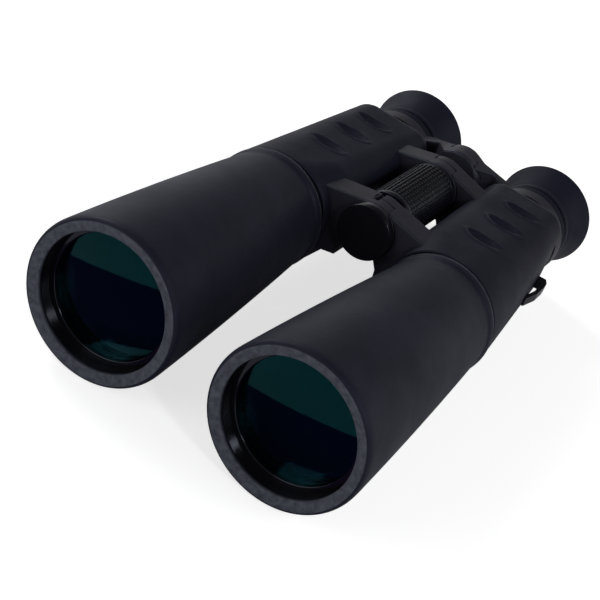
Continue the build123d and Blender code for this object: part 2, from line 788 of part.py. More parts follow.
    # Flared rubber eyecup
    with BuildPart() as eyecup:
        with BuildSketch(eyepiece_plane):
            with BuildLine():
                lip_inner = (cup_flare_radius - cup_wall, total_length - cup_lip_setback)
                Polyline((tube_radius + bond_gap, cup_start), (cup_base_radius - cup_chamfer, cup_start),
                         (cup_base_radius, cup_start + cup_chamfer), (cup_base_radius, cup_waist_station))
                Spline((cup_base_radius, cup_waist_station), (cup_middle_radius, cup_middle_station),
                       (cup_flare_radius, cup_flare_station), tangents=((0, 1), (0.12, 1)))
                ThreePointArc((cup_flare_radius, cup_flare_station),
                              (cup_flare_radius - cup_lip_drop, total_length),
                              lip_inner)
                Polyline(lip_inner,
                         (cup_middle_radius - cup_wall, cup_waist_station + cup_inner_run),
                         (tube_lip + cup_floor, tube_end + bond_gap + cup_floor),
                         (tube_lip, tube_end + bond_gap + cup_floor),
                         (tube_lip, tube_end + bond_gap),
                         (tube_radius + bond_gap, tube_end + bond_gap),
                         (tube_radius + bond_gap, cup_start))
            make_face()
        revolve(axis=eyepiece_axis)
    eyecup.part.label = f"eyecup_{name}"
    export_step(eyecup.part, f"parts/eyecup_{name}.step")

# Hinge tube with a long slot on each side for the drive pin
slot_start = pin_station - focus_in - pin_radius - free_gap
slot_end = pin_station + focus_out + pin_radius + free_gap
hinge_axis = axis_through(0, hinge_z)
hinge_plane = along(0, hinge_z)
with BuildPart() as hinge_tube:
    with BuildSketch(across(nut_end, 0, hinge_z)):
        Circle(hinge_tube_radius)
        Circle(hinge_tube_inner, mode=Mode.SUBTRACT)
    extrude(amount=nut_end - front_arm_start)
    with BuildSketch(hinge_plane):
        with Locations((0, (slot_start + slot_end) / 2)):
            SlotOverall(slot_end - slot_start, 2 * (pin_radius + free_gap), rotation=90)
    extrude(amount=hinge_tube_radius + cut_margin, both=True, mode=Mode.SUBTRACT)
hinge_tube.part.label = "hinge_tube"
export_step(hinge_tube.part, "parts/hinge_tube.step")

# Threaded tripod bush, screwed into the front of the hinge tube
with BuildPart() as tripod_bush:
    with BuildSketch(hinge_plane):
        with BuildLine():
            Polyline((tripod_radius, front_arm_start - bush_flange),
                     (bush_flange_radius, front_arm_start - bush_flange),
                     (bush_flange_radius, front_arm_start - bond_gap),
                     (hinge_tube_inner - bond_gap, front_arm_start - bond_gap),
                     (hinge_tube_inner - bond_gap, front_arm_start + bush_depth),
                     (tripod_radius, front_arm_start + bush_depth),
                     close=True)
        make_face()
    revolve(axis=hinge_axis)
tripod_bush.part.label = "tripod_bush"
export_step(tripod_bush.part, "parts/tripod_bush.step")

# Ring nut screwed on the rear end of the hinge tube
with BuildPart() as hinge_nut:
    with BuildSketch(across(nut_end, 0, hinge_z)):
        Circle(nut_radius)
        Circle(hinge_tube_radius + bond_gap, mode=Mode.SUBTRACT)
    extrude(amount=nut_thickness)
hinge_nut.part.label = "hinge_nut"
export_step(hinge_nut.part, "parts/hinge_nut.step")

# Friction washers between the knuckles
with BuildPart() as hinge_washers:
    for split in ((front_arm_start + front_arm_end) / 2, (rear_arm_start + rear_arm_end) / 2):
        with BuildSketch(across(split + washer_thickness, 0, hinge_z)):
            Circle(washer_radius)
            Circle(hinge_bore, mode=Mode.SUBTRACT)
        extrude(amount=washer_thickness)
hinge_washers.part.label = "hinge_washers"
export_step(hinge_washers.part, "parts/hinge_washers.step")

# Front cap, hollow so that it covers the tripod bush
with BuildPart() as hinge_cap:
    with BuildSketch(hinge_plane):
        with BuildLine():
            Polyline((0, cap_front),
                     (cap_radius - cap_chamfer, cap_front),
                     (cap_radius, cap_front + cap_chamfer),
                     (cap_radius, cap_rear),
                     (cap_radius - cap_wall, cap_rear),
                     (cap_radius - cap_wall, cap_front + cap_face),
                     (0, cap_front + cap_face),
                     close=True)
        make_face()
    revolve(axis=hinge_axis)
hinge_cap.part.label = "hinge_cap"
export_step(hinge_cap.part, "parts/hinge_cap.step")

# Core of the focus drum: two bearings with a chamber between them for the drive pin
core_radius = drum_radius - grip_wall - bond_gap
with BuildPart() as focus_core:
    with BuildSketch(hinge_plane):
        with BuildLine():
            Polyline((hinge_bore, drum_start),
                     (core_radius, drum_start),
                     (core_radius, drum_end),
                     (hinge_bore, drum_end),
                     (hinge_bore, drum_end - drum_bearing),
                     (drum_chamber_radius, drum_end - drum_bearing),
                     (drum_chamber_radius, drum_start + drum_bearing),
                     (hinge_bore, drum_start + drum_bearing),
                     close=True)
        make_face()
    revolve(axis=hinge_axis)
focus_core.part.label = "focus_core"
export_step(focus_core.part, "parts/focus_core.step")

# Rubber grip of the focus drum: a plain band in front, then long ribs
with BuildPart() as focus_grip:
    with BuildSketch(across(drum_end, 0, hinge_z)):
        Circle(drum_radius)
        Circle(drum_radius - grip_wall, mode=Mode.SUBTRACT)
    extrude(amount=drum_end - drum_start)
    with BuildSketch(across(drum_end, 0, hinge_z)):
        with PolarLocations(drum_radius, rib_count):
            Rectangle(2 * rib_depth, rib_gap)
    extrude(amount=drum_end - drum_start - plain_band, mode=Mode.SUBTRACT)
focus_grip.part.label = "focus_grip"
export_step(focus_grip.part, "parts/focus_grip.step")

# Spindle that carries the bridge, with the drive pin across it and a cap behind the hub
spindle_end = hub_end + end_cap - end_cap_skin
with BuildPart() as focus_spindle:
    with BuildSketch(across(spindle_end, 0, hinge_z)):
        Circle(spindle_radius)
    extrude(amount=spindle_end - spindle_start)
    with BuildSketch(Plane(origin=(0, front_y + pin_station, hinge_z - drum_radius))):
        Circle(pin_radius + bond_gap)
    extrude(amount=2 * drum_radius, mode=Mode.SUBTRACT)
focus_spindle.part.label = "focus_spindle"
export_step(focus_spindle.part, "parts/focus_spindle.step")

with BuildPart() as drive_pin:
    with BuildSketch(Plane(origin=(0, front_y + pin_station, hinge_z - pin_reach))):
        Circle(pin_radius)
    extrude(amount=2 * pin_reach)
drive_pin.part.label = "drive_pin"
export_step(drive_pin.part, "parts/drive_pin.step")

with BuildPart() as bridge_cap:
    with BuildSketch(hinge_plane):
        with BuildLine():
            Polyline((spindle_radius + bond_gap, hub_end + washer_play),
                     (end_cap_radius, hub_end + washer_play),
                     (end_cap_radius, hub_end + end_cap - end_cap_chamfer),
                     (end_cap_radius - end_cap_chamfer, hub_end + end_cap),
                     (0, hub_end + end_cap),
                     (0, spindle_end + bond_gap),
                     (spindle_radius + bond_gap, spindle_end + bond_gap),
                     close=True)
        make_face()
    revolve(axis=hinge_axis)
bridge_cap.part.label = "bridge_cap"
export_step(bridge_cap.part, "parts/bridge_cap.step")
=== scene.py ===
"""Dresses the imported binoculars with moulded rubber, satin castings and coated glass on a plain white stage.

All sizes are in metres in the part's own frame: +Y towards the eyepieces, +X across, +Z up.
Stations are distances behind the front rims in millimetres, as in the part's source.
"""

import math

import bpy
from mathutils import Matrix, Vector


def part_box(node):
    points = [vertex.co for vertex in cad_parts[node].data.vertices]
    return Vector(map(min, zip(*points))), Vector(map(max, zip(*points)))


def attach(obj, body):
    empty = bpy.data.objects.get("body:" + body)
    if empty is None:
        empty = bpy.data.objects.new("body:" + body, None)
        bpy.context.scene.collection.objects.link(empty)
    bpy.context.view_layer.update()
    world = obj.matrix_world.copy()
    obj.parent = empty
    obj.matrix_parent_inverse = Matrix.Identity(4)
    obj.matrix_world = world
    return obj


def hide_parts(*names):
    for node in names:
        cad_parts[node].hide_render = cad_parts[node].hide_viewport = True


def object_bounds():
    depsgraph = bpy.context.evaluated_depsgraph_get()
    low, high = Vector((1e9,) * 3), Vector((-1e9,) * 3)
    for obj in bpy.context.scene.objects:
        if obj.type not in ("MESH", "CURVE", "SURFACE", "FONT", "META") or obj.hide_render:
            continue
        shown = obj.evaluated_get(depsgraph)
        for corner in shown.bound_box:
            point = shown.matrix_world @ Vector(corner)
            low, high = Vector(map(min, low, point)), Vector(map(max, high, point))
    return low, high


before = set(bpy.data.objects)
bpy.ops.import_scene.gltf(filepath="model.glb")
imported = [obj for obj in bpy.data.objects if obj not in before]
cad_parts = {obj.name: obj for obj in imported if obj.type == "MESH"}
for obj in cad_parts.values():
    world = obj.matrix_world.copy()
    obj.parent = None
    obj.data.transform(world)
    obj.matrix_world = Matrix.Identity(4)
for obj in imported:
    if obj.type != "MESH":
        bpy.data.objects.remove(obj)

bl_info = {
    "name": "Binocular dressing",
    "version": (1, 0, 0),
    "blender": (4, 5, 0),
    "location": "3D View > Sidebar > Binoculars",
    "description": "Models the rubber covers, grips, cap and eyecups and gives every piece its finish",
    "category": "Object",
}

MM = 0.001
SIDES = (("left", -1), ("right", 1))

# Sizes in mm, with those of the solids that the pieces fit
RIM_SHOULDER = 1.8  # how far the crease of a front rim lies inside its full radius
RIM_END = 4.0  # station where the rim ends and the barrel's taper starts
TAPER_LENGTH = 127.0
TAPER_END_RADIUS = 28.2
TAPER_SWELL = 2.4
BORE_RADIUS = 31.0
BARREL_FOOT_RADIUS = 26.0
BAND_RADIUS = 28.8  # raised band at the rear end of a barrel cover
BARREL_END = 137.0
HOUSING_START, HOUSING_END = 138.0, 238.0
SEAM = 136.6  # middle of the painted highlight, a pale line round the rear end of a barrel cover
EYEPIECE_BORE = 16.05
PIPS_ALONG = 17
AXIS_RADIUS = 0.005  # a ring this small closes a turned piece on its axis

CAD_LOW, CAD_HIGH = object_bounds()
FRONT_Y = CAD_LOW.y
RIM_LOW, RIM_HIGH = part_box("barrel_armour_right")
GRIP_LOW, GRIP_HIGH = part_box("focus_grip")
CUP_LOW, CUP_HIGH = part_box("eyecup_right")
CAP_LOW, CAP_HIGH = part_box("hinge_cap")
OBJECTIVE_X = (RIM_LOW.x + RIM_HIGH.x) / 2
OBJECTIVE_Z = (RIM_LOW.z + RIM_HIGH.z) / 2
EYEPIECE_X = (CUP_LOW.x + CUP_HIGH.x) / 2
EYEPIECE_Z = (CUP_LOW.z + CUP_HIGH.z) / 2
HINGE_Z = (CAP_LOW.z + CAP_HIGH.z) / 2


def station_y(station):
    """Y of a station that is given in millimetres behind the front rims."""
    return FRONT_Y + station * MM


class BinocularSizes(bpy.types.PropertyGroup):
    """Sizes of the modelled pieces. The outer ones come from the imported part."""

    rim_radius: bpy.props.FloatProperty(
        name="Rim radius", description="Outer radius of the front rim",
        default=(RIM_HIGH.x - RIM_LOW.x) / 2, unit="LENGTH", precision=5)
    drum_radius: bpy.props.FloatProperty(
        name="Drum radius", description="Outer radius of the focus drum over its pips",
        default=(GRIP_HIGH.x - GRIP_LOW.x) / 2, unit="LENGTH", precision=5)
    cap_radius: bpy.props.FloatProperty(
        name="Cap radius", description="Outer radius of the round cap in front of the hinge",
        default=(CAP_HIGH.x - CAP_LOW.x) / 2, unit="LENGTH", precision=5)
    cup_radius: bpy.props.FloatProperty(
        name="Eyecup radius", description="Radius of the flared end of an eyecup",
        default=(CUP_HIGH.x - CUP_LOW.x) / 2, unit="LENGTH", precision=5)
    hollow_depth: bpy.props.FloatProperty(
        name="Hollow depth", description="Depth of the finger hollows on top of the housings",
        default=1.7 * MM, unit="LENGTH", precision=5)
    pip_rows: bpy.props.IntProperty(
        name="Pip rows", description="Rows of pips round the focus drum", default=40, min=12, max=80)


class BinocularFinish(bpy.types.PropertyGroup):
    """Colours and strengths of the finishes and of the stage."""

    rubber: bpy.props.FloatVectorProperty(
        name="Rubber", description="Colour of the rubber armour", subtype="COLOR",
        default=(0.0092, 0.0092, 0.0178), min=0.0, max=1.0)
    # Paler colour mixed in on the front rims, where it is partly wear and partly painted light, and along the seam,
    # where it is a painted highlight
    rubbed_and_lit: bpy.props.FloatVectorProperty(
        name="Rubbed rubber", description="Colour of the rubber where rims and seams are rubbed", subtype="COLOR",
        default=(0.09, 0.096, 0.12), min=0.0, max=1.0)
    casting: bpy.props.FloatVectorProperty(
        name="Casting", description="Colour of the satin black castings", subtype="COLOR",
        default=(0.02, 0.0196, 0.028), min=0.0, max=1.0)
    coating: bpy.props.FloatVectorProperty(
        name="Lens coating", description="Tint of what the front lenses reflect", subtype="COLOR",
        default=(0.008, 0.6, 0.69), min=0.0, max=1.0)
    floor: bpy.props.FloatVectorProperty(
        name="Floor", description="Colour of the floor", subtype="COLOR", default=(0.86, 0.86, 0.86), min=0.0, max=1.0)
    key_power: bpy.props.FloatProperty(
        name="Light", description="Power that each lamp has a share of", default=5.0, min=0.0, unit="POWER")


# Helpers for modelling

def deselect():
    """Leaves object mode clean, with nothing selected."""
    if bpy.context.mode != "OBJECT":
        bpy.ops.object.mode_set(mode="OBJECT")
    bpy.ops.object.select_all(action="DESELECT")


def named(name):
    """Gives the active object and its mesh a name."""
    piece = bpy.context.active_object
    piece.name = name
    piece.data.name = name
    return piece


def turned(name, centre_x, centre_z, profile, segments=160):
    """A ring is drawn out and resized from point to point of a closed profile of (radius, station) in mm."""
    deselect()
    radius, station = profile[0]
    bpy.ops.mesh.primitive_circle_add(
        vertices=segments, radius=radius * MM, fill_type="NOTHING",
        location=(centre_x, station_y(station), centre_z), rotation=(math.pi / 2, 0, 0))
    bpy.ops.object.transform_apply(location=True, rotation=True, scale=True)
    bpy.ops.object.mode_set(mode="EDIT")
    bpy.ops.mesh.select_all(action="SELECT")
    for next_radius, next_station in profile[1:]:
        step = (next_station - station) * MM
        bpy.ops.mesh.extrude_region_move(TRANSFORM_OT_translate={"value": (0, step, 0)})
        share = next_radius / radius
        if abs(share - 1) > 1e-9:
            bpy.ops.transform.resize(
                value=(share, 1, share), center_override=(centre_x, station_y(next_station), centre_z))
        radius, station = next_radius, next_station
    bpy.ops.mesh.select_all(action="SELECT")
    bpy.ops.mesh.remove_doubles(threshold=0.00002)
    bpy.ops.mesh.normals_make_consistent(inside=False)
    bpy.ops.object.mode_set(mode="OBJECT")
    piece = named(name)
    bpy.ops.object.shade_smooth_by_angle(angle=math.radians(38))
    return piece


def rounded(start, corner, end, radius, steps=6):
    """Points of a corner of a profile, rounded with an arc that keeps to both of its sides."""
    start, corner, end = Vector(start), Vector(corner), Vector(end)
    before = (start - corner).normalized()
    after = (end - corner).normalized()
    half = before.angle(after) / 2
    reach = radius / math.tan(half)
    centre = corner + (before + after).normalized() * (radius / math.sin(half))
    first = corner + before * reach - centre
    last = corner + after * reach - centre
    turn = first.angle_signed(last)
    points = []
    for step in range(steps + 1):
        point = first.copy()
        point.rotate(Matrix.Rotation(-turn * step / steps, 2))
        points.append(tuple(centre + point))
    return points


def smooth_run(points, steps=6):
    """Points of a smooth run through the given points of a profile."""
    ends = [2 * Vector(points[0]) - Vector(points[1])] + [Vector(p) for p in points]
    ends.append(2 * Vector(points[-1]) - Vector(points[-2]))
    run = []
    for index in range(1, len(ends) - 2):
        a, b, c, d = ends[index - 1:index + 3]
        for step in range(steps):
            t = step / steps
            run.append(tuple(0.5 * (2 * b + (c - a) * t + (2 * a - 5 * b + 4 * c - d) * t * t
                                    + (3 * b - 3 * c + d - a) * t * t * t)))
    run.append(tuple(points[-1]))
    return run


def settle(piece, body, slot, material, *nodes):
    """Lets a piece ride on its body in place of CAD nodes, with its finish."""
    piece.data.materials.clear()
    piece.data.materials.append(material)
    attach(piece, body)
    if nodes:
        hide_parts(*nodes)
    return piece


# Helpers for finishes

def socket(group, name, kind, in_out, default=None):
    """Adds a named socket to a node group."""
    made = group.interface.new_socket(name=name, in_out=in_out, socket_type=kind)
    if default is not None:
        made.default_value = default
    return made


def math_node(nodes, operation, second=None):
    """A maths node, with its second value where that is a constant."""
    node = nodes.new("ShaderNodeMath")
    node.operation = operation
    if second is not None:
        node.inputs[1].default_value = second
    return node


def map_range(nodes, from_min, from_max, to_min=0.0, to_max=1.0):
    """A node that maps one range of values to another."""
    node = nodes.new("ShaderNodeMapRange")
    for name, value in (("From Min", from_min), ("From Max", from_max), ("To Min", to_min), ("To Max", to_max)):
        node.inputs[name].default_value = value
    return node


def noise(nodes, detail, scale=None):
    """A noise texture. The scale is left out where another node gives it."""
    node = nodes.new("ShaderNodeTexNoise")
    node.inputs["Detail"].default_value = detail
    if scale is not None:
        node.inputs["Scale"].default_value = scale
    return node


def colour_mix(nodes):
    """A node that mixes two colours."""
    node = nodes.new("ShaderNodeMix")
    node.data_type = "RGBA"
    return node


def moulded_grain():
    """Node group: pebbled grain with slow changes of colour and gloss, as on moulded rubber or painted metal."""
    name = "Moulded grain"
    if name in bpy.data.node_groups:
        return bpy.data.node_groups[name]
    group = bpy.data.node_groups.new(name, "ShaderNodeTree")
    socket(group, "Vector", "NodeSocketVector", "INPUT")
    socket(group, "Dark", "NodeSocketColor", "INPUT", (0.01, 0.01, 0.014, 1))
    socket(group, "Light", "NodeSocketColor", "INPUT", (0.016, 0.016, 0.02, 1))
    socket(group, "Grain scale", "NodeSocketFloat", "INPUT", 1600.0)
    socket(group, "Patch scale", "NodeSocketFloat", "INPUT", 30.0)
    socket(group, "Gloss low", "NodeSocketFloat", "INPUT", 0.45)
    socket(group, "Gloss high", "NodeSocketFloat", "INPUT", 0.6)
    socket(group, "Colour", "NodeSocketColor", "OUTPUT")
    socket(group, "Roughness", "NodeSocketFloat", "OUTPUT")
    socket(group, "Height", "NodeSocketFloat", "OUTPUT")
    nodes, links = group.nodes, group.links
    inputs = nodes.new("NodeGroupInput")
    outputs = nodes.new("NodeGroupOutput")
    pebbles = nodes.new("ShaderNodeTexVoronoi")
    pebbles.feature = "SMOOTH_F1"
    fine = noise(nodes, 3.0)
    patch = noise(nodes, 4.0)
    patch.inputs["Roughness"].default_value = 0.6
    for texture, scale in ((pebbles, "Grain scale"), (fine, "Grain scale"), (patch, "Patch scale")):
        links.new(inputs.outputs["Vector"], texture.inputs["Vector"])
        links.new(inputs.outputs[scale], texture.inputs["Scale"])
    height = math_node(nodes, "SUBTRACT")
    links.new(fine.outputs["Fac"], height.inputs[0])
    links.new(pebbles.outputs["Distance"], height.inputs[1])
    spread = map_range(nodes, 0.36, 0.66)
    links.new(patch.outputs["Fac"], spread.inputs["Value"])
    speck = math_node(nodes, "MULTIPLY_ADD", 0.35)
    links.new(fine.outputs["Fac"], speck.inputs[0])
    links.new(spread.outputs["Result"], speck.inputs[2])
    tone = colour_mix(nodes)
    links.new(speck.outputs["Value"], tone.inputs["Factor"])
    links.new(inputs.outputs["Dark"], tone.inputs["A"])
    links.new(inputs.outputs["Light"], tone.inputs["B"])
    gloss = nodes.new("ShaderNodeMapRange")
    links.new(spread.outputs["Result"], gloss.inputs["Value"])
    links.new(inputs.outputs["Gloss high"], gloss.inputs["To Min"])
    links.new(inputs.outputs["Gloss low"], gloss.inputs["To Max"])
    links.new(tone.outputs["Result"], outputs.inputs["Colour"])
    links.new(gloss.outputs["Result"], outputs.inputs["Roughness"])
    links.new(height.outputs["Value"], outputs.inputs["Height"])
    return group


def shader_of(material):
    """The Principled shader of a new material."""
    material.use_nodes = True
    return material.node_tree.nodes["Principled BSDF"]


def grained(name, dark, lighter, grain, patch, gloss, relief, specular, sheen=0.0):
    """A material whose colour, gloss and relief all come from the grain group."""
    if name in bpy.data.materials:
        return bpy.data.materials[name]
    material = bpy.data.materials.new(name)
    shader = shader_of(material)
    nodes, links = material.node_tree.nodes, material.node_tree.links
    place = nodes.new("ShaderNodeTexCoord")
    group = nodes.new("ShaderNodeGroup")
    group.node_tree = moulded_grain()
    light = tuple(channel * lighter for channel in dark)
    group.inputs["Dark"].default_value = (*dark, 1)
    group.inputs["Light"].default_value = (*light, 1)
    group.inputs["Grain scale"].default_value = grain
    group.inputs["Patch scale"].default_value = patch
    group.inputs["Gloss low"].default_value = gloss[0]
    group.inputs["Gloss high"].default_value = gloss[1]
    bump = nodes.new("ShaderNodeBump")
    bump.inputs["Strength"].default_value = 1.0
    bump.inputs["Distance"].default_value = relief
    links.new(place.outputs["Object"], group.inputs["Vector"])
    links.new(group.outputs["Colour"], shader.inputs["Base Color"])
    links.new(group.outputs["Roughness"], shader.inputs["Roughness"])
    links.new(group.outputs["Height"], bump.inputs["Height"])
    links.new(bump.outputs["Normal"], shader.inputs["Normal"])
    shader.inputs["Specular IOR Level"].default_value = specular
    shader.inputs["Specular Tint"].default_value = (0.74, 0.79, 1.0, 1)
    shader.inputs["Sheen Weight"].default_value = sheen
    shader.inputs["Sheen Roughness"].default_value = 0.4
    shader.inputs["Sheen Tint"].default_value = (0.8, 0.85, 1.0, 1)
    return material


def glass(name, tint, colour=(1.0, 1.0, 1.0), index=1.52):
    """Clear coated glass. The tint is that of the coating's reflection."""
    if name in bpy.data.materials:
        return bpy.data.materials[name]
    material = bpy.data.materials.new(name)
    shader = shader_of(material)
    nodes, links = material.node_tree.nodes, material.node_tree.links
    place = nodes.new("ShaderNodeTexCoord")
    haze = noise(nodes, 5.0, 90.0)
    gloss = map_range(nodes, 0.4, 0.8, 0.0, 0.004)
    links.new(place.outputs["Object"], haze.inputs["Vector"])
    links.new(haze.outputs["Fac"], gloss.inputs["Value"])
    links.new(gloss.outputs["Result"], shader.inputs["Roughness"])
    shader.inputs["Base Color"].default_value = (*colour, 1)
    shader.inputs["Transmission Weight"].default_value = 1.0
    shader.inputs["IOR"].default_value = index
    shader.inputs["Specular Tint"].default_value = (*tint, 1)
    return material


def metal(name, colour, gloss, turning):
    """Bare metal with fine lines left by the lathe along its length."""
    if name in bpy.data.materials:
        return bpy.data.materials[name]
    material = bpy.data.materials.new(name)
    shader = shader_of(material)
    nodes, links = material.node_tree.nodes, material.node_tree.links
    place = nodes.new("ShaderNodeTexCoord")
    squeeze = nodes.new("ShaderNodeMapping")
    squeeze.inputs["Scale"].default_value = (40, turning, 40)
    lines = noise(nodes, 3.0, 1.0)
    spread = map_range(nodes, 0.0, 1.0, gloss - 0.08, gloss + 0.12)
    tone = colour_mix(nodes)
    tone.inputs["A"].default_value = (*[channel * 0.8 for channel in colour], 1)
    tone.inputs["B"].default_value = (*colour, 1)
    bump = nodes.new("ShaderNodeBump")
    bump.inputs["Distance"].default_value = 0.00002
    links.new(place.outputs["Object"], squeeze.inputs["Vector"])
    links.new(squeeze.outputs["Vector"], lines.inputs["Vector"])
    links.new(lines.outputs["Fac"], spread.inputs["Value"])
    links.new(lines.outputs["Fac"], tone.inputs["Factor"])
    links.new(lines.outputs["Fac"], bump.inputs["Height"])
    links.new(tone.outputs["Result"], shader.inputs["Base Color"])
    links.new(spread.outputs["Result"], shader.inputs["Roughness"])
    links.new(bump.outputs["Normal"], shader.inputs["Normal"])
    shader.inputs["Metallic"].default_value = 1.0
    return material


def armour_rubber(finish):
    """Matte rubber of the barrels and housings. It is paler on the front rims, partly from wear and partly as painted
    light, and a pale line along the seam is a painted highlight.
    """
    name = "Armour rubber"
    if name in bpy.data.materials:
        return bpy.data.materials[name]
    material = grained(name, finish.rubber, 1.5, 1700, 26, (0.46, 0.58), 0.00008, 0.16, 0.06)
    nodes, links = material.node_tree.nodes, material.node_tree.links
    shader = nodes["Principled BSDF"]
    plain = shader.inputs["Base Color"].links[0].from_socket
    place = next(node for node in nodes if node.type == "TEX_COORD")
    split = nodes.new("ShaderNodeSeparateXYZ")
    # Paler on the front rims: partly wear, partly painted light that stands in for the light the rims catch from the
    # floor
    front = map_range(nodes, station_y(2.4), station_y(1.8))
    either_side = math_node(nodes, "ABSOLUTE")
    across = math_node(nodes, "SUBTRACT", OBJECTIVE_X)
    above = math_node(nodes, "SUBTRACT", OBJECTIVE_Z)
    from_axis = nodes.new("ShaderNodeCombineXYZ")
    reach = nodes.new("ShaderNodeVectorMath")
    reach.operation = "LENGTH"
    crease = (RIM_HIGH.x - RIM_LOW.x) / 2 - RIM_SHOULDER * MM
    within = map_range(nodes, crease + 0.35 * MM, crease)
    rim = math_node(nodes, "MULTIPLY")
    # The pale line along the seam is a painted highlight on the rear edge of the band
    from_seam = math_node(nodes, "SUBTRACT", station_y(SEAM))
    apart = math_node(nodes, "ABSOLUTE")
    seam = map_range(nodes, 0.95 * MM, 0.5 * MM)
    either = math_node(nodes, "MAXIMUM")
    patchiness = noise(nodes, 5.0, 420.0)
    uneven = map_range(nodes, 0.3, 0.7, 0.4)
    share = math_node(nodes, "MULTIPLY")
    rubbed_and_lit = colour_mix(nodes)
    rubbed_and_lit.inputs["B"].default_value = (*finish.rubbed_and_lit, 1)
    links.new(place.outputs["Object"], split.inputs["Vector"])
    links.new(split.outputs["Y"], front.inputs["Value"])
    links.new(split.outputs["X"], either_side.inputs[0])
    links.new(either_side.outputs["Value"], across.inputs[0])
    links.new(split.outputs["Z"], above.inputs[0])
    links.new(across.outputs["Value"], from_axis.inputs["X"])
    links.new(above.outputs["Value"], from_axis.inputs["Z"])
    links.new(from_axis.outputs["Vector"], reach.inputs[0])
    links.new(reach.outputs["Value"], within.inputs["Value"])
    links.new(front.outputs["Result"], rim.inputs[0])
    links.new(within.outputs["Result"], rim.inputs[1])
    links.new(place.outputs["Object"], patchiness.inputs["Vector"])
    links.new(patchiness.outputs["Fac"], uneven.inputs["Value"])
    links.new(split.outputs["Y"], from_seam.inputs[0])
    links.new(from_seam.outputs["Value"], apart.inputs[0])
    links.new(apart.outputs["Value"], seam.inputs["Value"])
    links.new(rim.outputs["Value"], either.inputs[0])
    links.new(seam.outputs["Result"], either.inputs[1])
    links.new(either.outputs["Value"], share.inputs[0])
    links.new(uneven.outputs["Result"], share.inputs[1])
    links.new(share.outputs["Value"], rubbed_and_lit.inputs["Factor"])
    links.new(plain, rubbed_and_lit.inputs["A"])
    links.new(rubbed_and_lit.outputs["Result"], shader.inputs["Base Color"])
    return material


def housing_rubber(finish):
    """Matte rubber of the housing covers, a little darker than that of the barrels."""
    return grained("Housing rubber", finish.rubber, 1.5, 1700, 26, (0.46, 0.58), 0.00008, 0.13, 0.02)


def cup_rubber(finish):
    """Smoother rubber of the eyecups."""
    return grained("Eyecup rubber", finish.rubber, 1.4, 900, 40, (0.5, 0.62), 0.00003, 0.16, 0.04)


def drum_rubber(finish):
    """Hard rubber of the focus drum."""
    dark = tuple(channel * 0.35 for channel in finish.rubber)
    return grained("Drum rubber", dark, 1.5, 1400, 50, (0.28, 0.4), 0.00002, 0.34)


def satin_casting(finish):
    """Black painted casting with a fine texture."""
    return grained("Satin casting", finish.casting, 1.4, 2600, 45, (0.36, 0.46), 0.00003, 0.3)


def black_plastic(finish):
    """Black moulded plastic."""
    return grained("Black plastic", finish.casting, 1.3, 2200, 60, (0.34, 0.44), 0.00002, 0.2)


def gloss_black(finish):
    """Polished black plastic of the caps."""
    return grained("Gloss black", tuple(c * 0.3 for c in finish.casting), 1.3, 700, 80, (0.14, 0.2), 0.000003, 0.25)


def bore_black(finish):
    """Black enamel of the bores, with a fine thread cut in the front of the tube."""
    name = "Bore black"
    if name in bpy.data.materials:
        return bpy.data.materials[name]
    material = grained(name, tuple(c * 0.08 for c in finish.casting), 1.3, 1200, 60, (0.16, 0.24), 0.000006, 0.4)
    nodes, links = material.node_tree.nodes, material.node_tree.links
    shader = nodes["Principled BSDF"]
    grain = shader.inputs["Normal"].links[0].from_node
    place = next(node for node in nodes if node.type == "TEX_COORD")
    split = nodes.new("ShaderNodeSeparateXYZ")
    thread_pitch = 0.9 * MM
    turns = math_node(nodes, "MULTIPLY", 2 * math.pi / thread_pitch)
    wave = math_node(nodes, "SINE")
    thread = nodes.new("ShaderNodeBump")
    thread.inputs["Strength"].default_value = 1.0
    thread.inputs["Distance"].default_value = 0.12 * MM
    links.new(place.outputs["Object"], split.inputs["Vector"])
    links.new(split.outputs["Y"], turns.inputs[0])
    links.new(turns.outputs["Value"], wave.inputs[0])
    links.new(wave.outputs["Value"], thread.inputs["Height"])
    links.new(grain.outputs["Normal"], thread.inputs["Normal"])
    links.new(thread.outputs["Normal"], shader.inputs["Normal"])
    deep = map_range(nodes, station_y(9.0), station_y(14.0), 0.0, 0.8)
    dull = math_node(nodes, "MAXIMUM")
    links.new(split.outputs["Y"], deep.inputs["Value"])
    links.new(shader.inputs["Roughness"].links[0].from_socket, dull.inputs[0])
    links.new(deep.outputs["Result"], dull.inputs[1])
    links.new(dull.outputs["Value"], shader.inputs["Roughness"])
    return material


def ring_black(finish):
    """Polished black of the retaining rings and lens cells."""
    return grained("Ring black", tuple(c * 0.1 for c in finish.casting), 1.3, 900, 80, (0.05, 0.09), 0.000002, 0.5)


def matt_black(finish):
    """Dead black of everything behind the front lenses."""
    return grained("Matt black", tuple(c * 0.06 for c in finish.casting), 1.3, 900, 80, (0.8, 0.9), 0.00001, 0.03)


class PieceOperator:
    """What the operators share: the sizes and the finish of the scene."""

    bl_options = {"REGISTER", "UNDO"}

    @property
    def sizes(self):
        return bpy.context.scene.binocular_sizes

    @property
    def finish(self):
        return bpy.context.scene.binocular_finish


